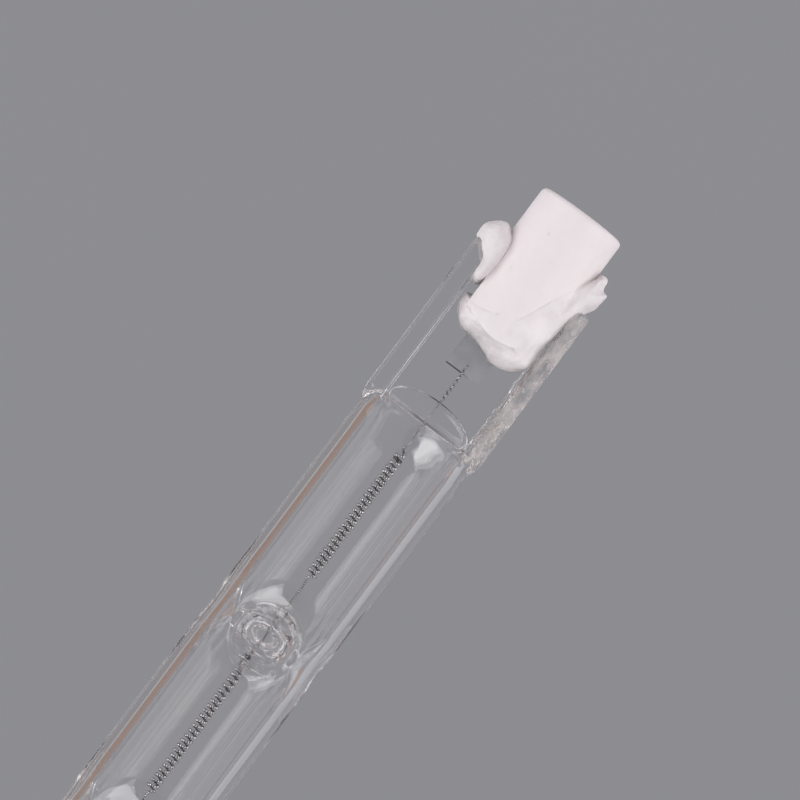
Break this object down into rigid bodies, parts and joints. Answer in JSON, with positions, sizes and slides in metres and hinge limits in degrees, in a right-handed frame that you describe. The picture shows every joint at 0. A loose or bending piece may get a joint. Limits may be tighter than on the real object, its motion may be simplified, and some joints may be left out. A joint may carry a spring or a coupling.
{
  "type": "linear halogen bulb",
  "caption": "Double-ended tubular halogen bulb: clear dimpled quartz tube, coiled filament, flat pinch seals and cemented ceramic end caps with recessed contacts.",
  "frame": {"origin": "light centre: the middle of the lamp, on the tube's axis", "axes": "+X along the lamp, +Z square to the flat pinch seals, +Y across them, on the exhaust tip's side"},
  "size_m": [0.1176, 0.0118, 0.01],
  "materials": {
    "quartz": "clear fused quartz, polished by the flame",
    "tungsten": "dark drawn tungsten wire, coiled coil",
    "molybdenum": "grey rolled foil",
    "lead": "drawn molybdenum wire",
    "contact": "plated contact button",
    "ceramic": "unglazed white steatite with fine pits",
    "cement": "white lamp cement, hardened in folds"
  },
  "bodies": {
    "root": {"glass_envelope": "quartz", "filament": "tungsten", "molybdenum_foil_a": "molybdenum", "outer_lead_a": "lead", "contact_a": "contact", "ceramic_base_a": "ceramic", "cement_a": "cement", "molybdenum_foil_b": "molybdenum", "outer_lead_b": "lead", "contact_b": "contact", "ceramic_base_b": "ceramic", "cement_b": "cement"}
  },
  "joints": []
}
